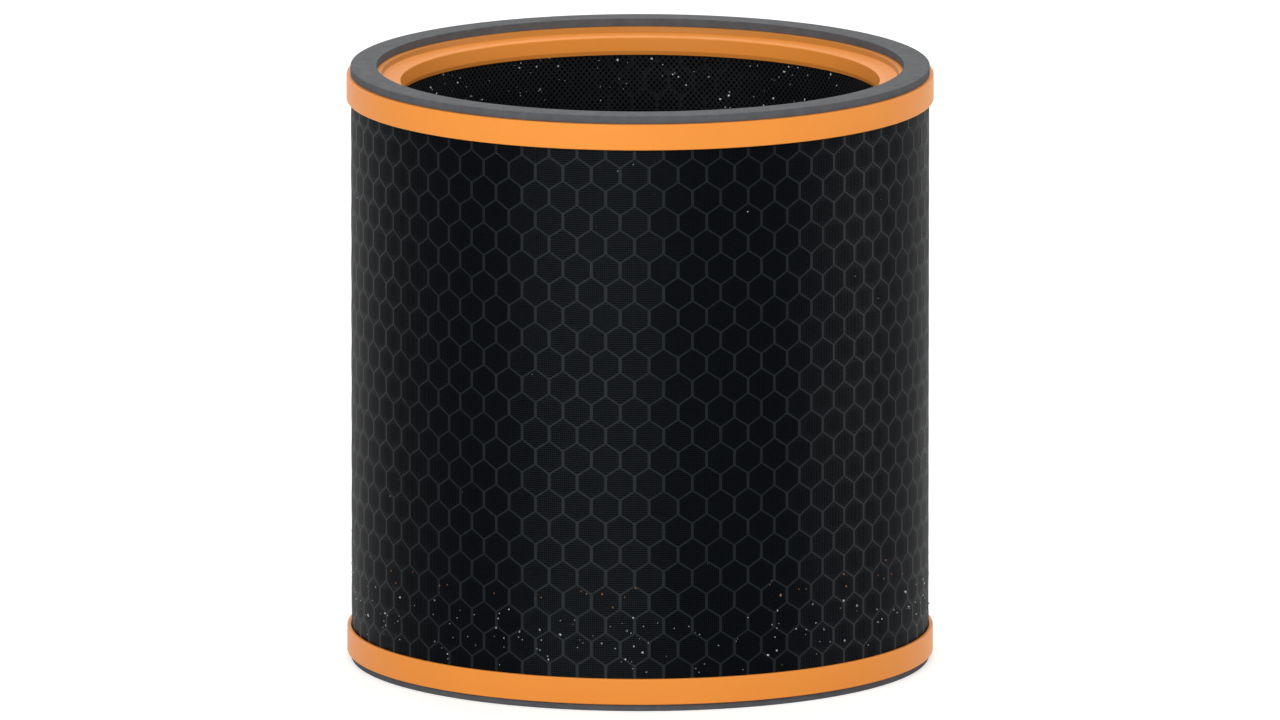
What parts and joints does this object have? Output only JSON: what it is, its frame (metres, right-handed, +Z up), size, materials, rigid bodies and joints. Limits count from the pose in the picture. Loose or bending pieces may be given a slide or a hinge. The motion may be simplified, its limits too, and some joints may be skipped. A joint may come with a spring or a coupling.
{
  "type": "air purifier filter",
  "caption": "Cylindrical air purifier filter: an open drum of granular carbon in a honeycomb core, with moulded end caps and foam gaskets.",
  "frame": {"origin": "centre of the bottom gasket's foot, on the axis of the drum", "axes": "+Z up along the axis of the drum, the front of the picture towards -Y"},
  "size_m": [0.25, 0.25, 0.256],
  "materials": {
    "orange_plastic": "satin",
    "grey_foam": "matte",
    "outer_screen": "satin",
    "inner_net": "satin",
    "carbon": "matte"
  },
  "bodies": {
    "root": {"top_end_cap": "orange_plastic", "bottom_end_cap": "orange_plastic", "top_gasket": "grey_foam", "bottom_gasket": "grey_foam", "outer_screen": "outer_screen", "inner_net": "inner_net", "carbon_honeycomb": "carbon"}
  },
  "joints": []
}
